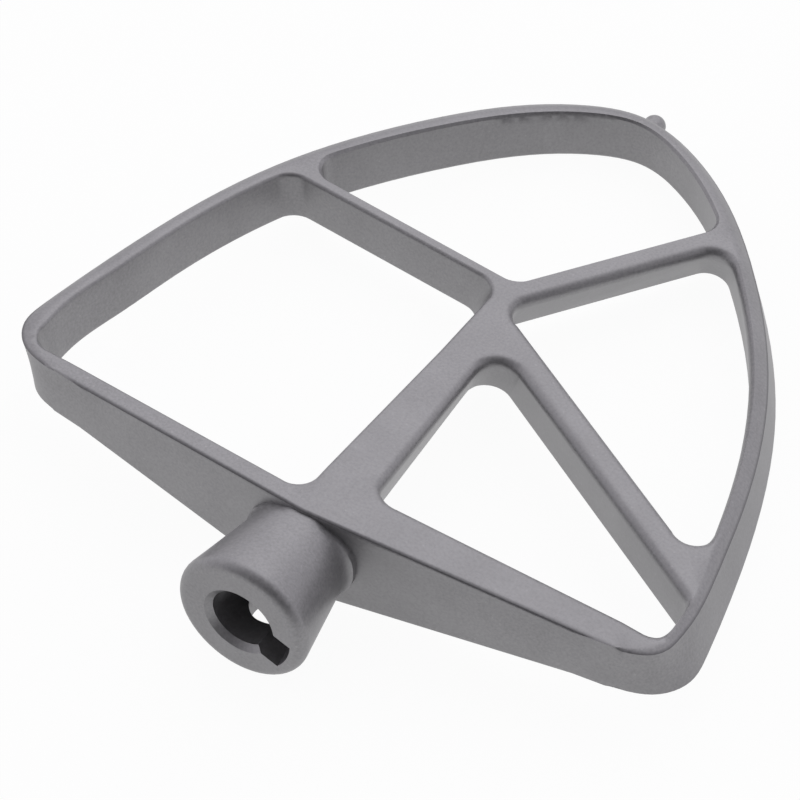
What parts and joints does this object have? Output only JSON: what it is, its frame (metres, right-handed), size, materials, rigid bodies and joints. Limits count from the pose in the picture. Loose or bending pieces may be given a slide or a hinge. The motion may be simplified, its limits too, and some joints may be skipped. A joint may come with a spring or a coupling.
{
  "type": "stand mixer flat beater",
  "caption": "Cast aluminium flat beater for a stand mixer: a leaf-shaped frame with slanting inner webs and a hub with a keyed bayonet socket.",
  "frame": {"origin": "On the drive axis where the bore's wall begins, 1.2 mm inside the hub's mouth.", "axes": "+Y runs along the drive shaft from the hub's mouth to the tip, X across the frame, +Z out of the front face."},
  "size_m": [0.1512, 0.1746, 0.0278],
  "materials": {
    "coated_casting": "satin"
  },
  "bodies": {
    "root": {"flat_beater": "coated_casting"}
  },
  "joints": []
}
